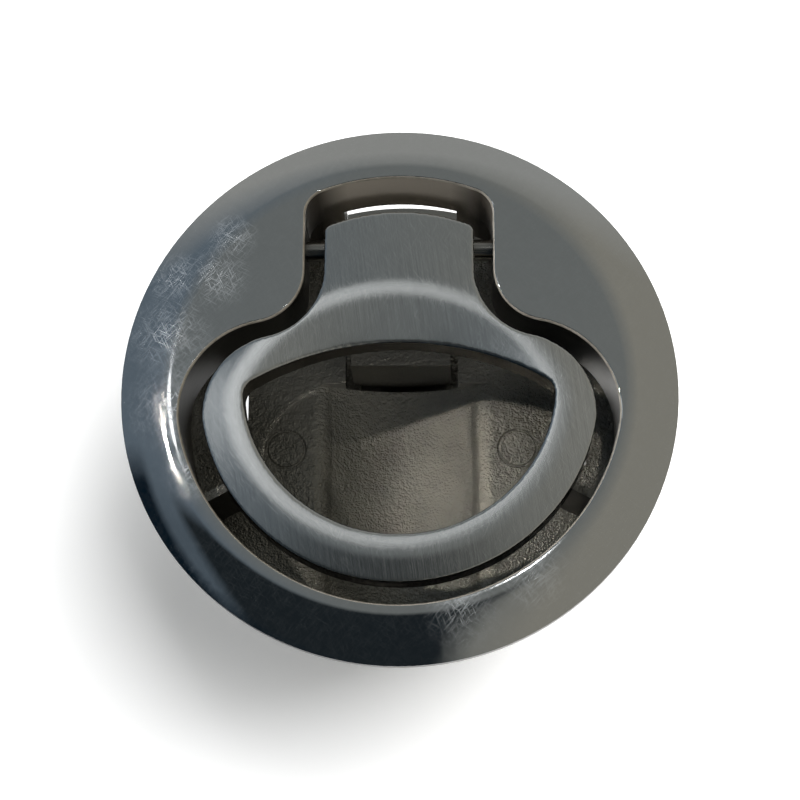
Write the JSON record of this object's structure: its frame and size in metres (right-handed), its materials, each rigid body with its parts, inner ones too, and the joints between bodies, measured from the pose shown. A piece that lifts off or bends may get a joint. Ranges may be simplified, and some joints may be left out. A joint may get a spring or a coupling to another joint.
{
  "type": "flush pull latch",
  "caption": "Round flush latch for a hatch or locker lid: a polished cast bezel and cup, a lift ring that folds flush, and a spring bolt that the ring draws back.",
  "frame": {"origin": "centre of the flange's underside, at the top of the spigot that fits the panel hole", "axes": "+Z out of the panel towards the user, +Y towards the edge that the bolt catches, +X along the pivot pin"},
  "size_m": [0.0636, 0.0641, 0.0375],
  "materials": {
    "polished_casting": "mirror-polished flange on a blasted stainless casting",
    "brushed_casting": "hand-brushed stainless casting",
    "pin_steel": "drawn and ground",
    "bolt_casting": "blasted, with satin sliding faces",
    "spring_wire": "drawn wire",
    "cover_sheet": "mill-finish sheet",
    "screw_steel": "cold-headed and passivated"
  },
  "bodies": {
    "casing": {"bezel_body": "polished_casting", "pivot_pin": "pin_steel", "bolt_spring": "spring_wire", "cover_plate": "cover_sheet", "cover_screw_1": "screw_steel", "cover_screw_2": "screw_steel", "cover_screw_3": "screw_steel", "cover_screw_4": "screw_steel"},
    "ring": {"lift_ring": "brushed_casting"},
    "bolt": {"slide_bolt": "bolt_casting"}
  },
  "joints": [
    {"name": "ring_lift", "type": "hinge", "parent": "casing", "child": "ring", "pos_m": [0, 0.0176, -0.001], "axis": [-1, 0, 0], "range_deg": [0, 45], "stiffness_Nm_per_rad": 0.018, "springref_deg": -74.48},
    {"name": "bolt_slide", "type": "slide", "parent": "casing", "child": "bolt", "axis": [0, -1, 0], "range_m": [0, 0.0058], "deforming": ["bolt_spring"]}
  ],
  "couplings": [
    {"joint": "bolt_slide", "follows": "ring_lift", "m_per_rad": 0.00735}
  ]
}
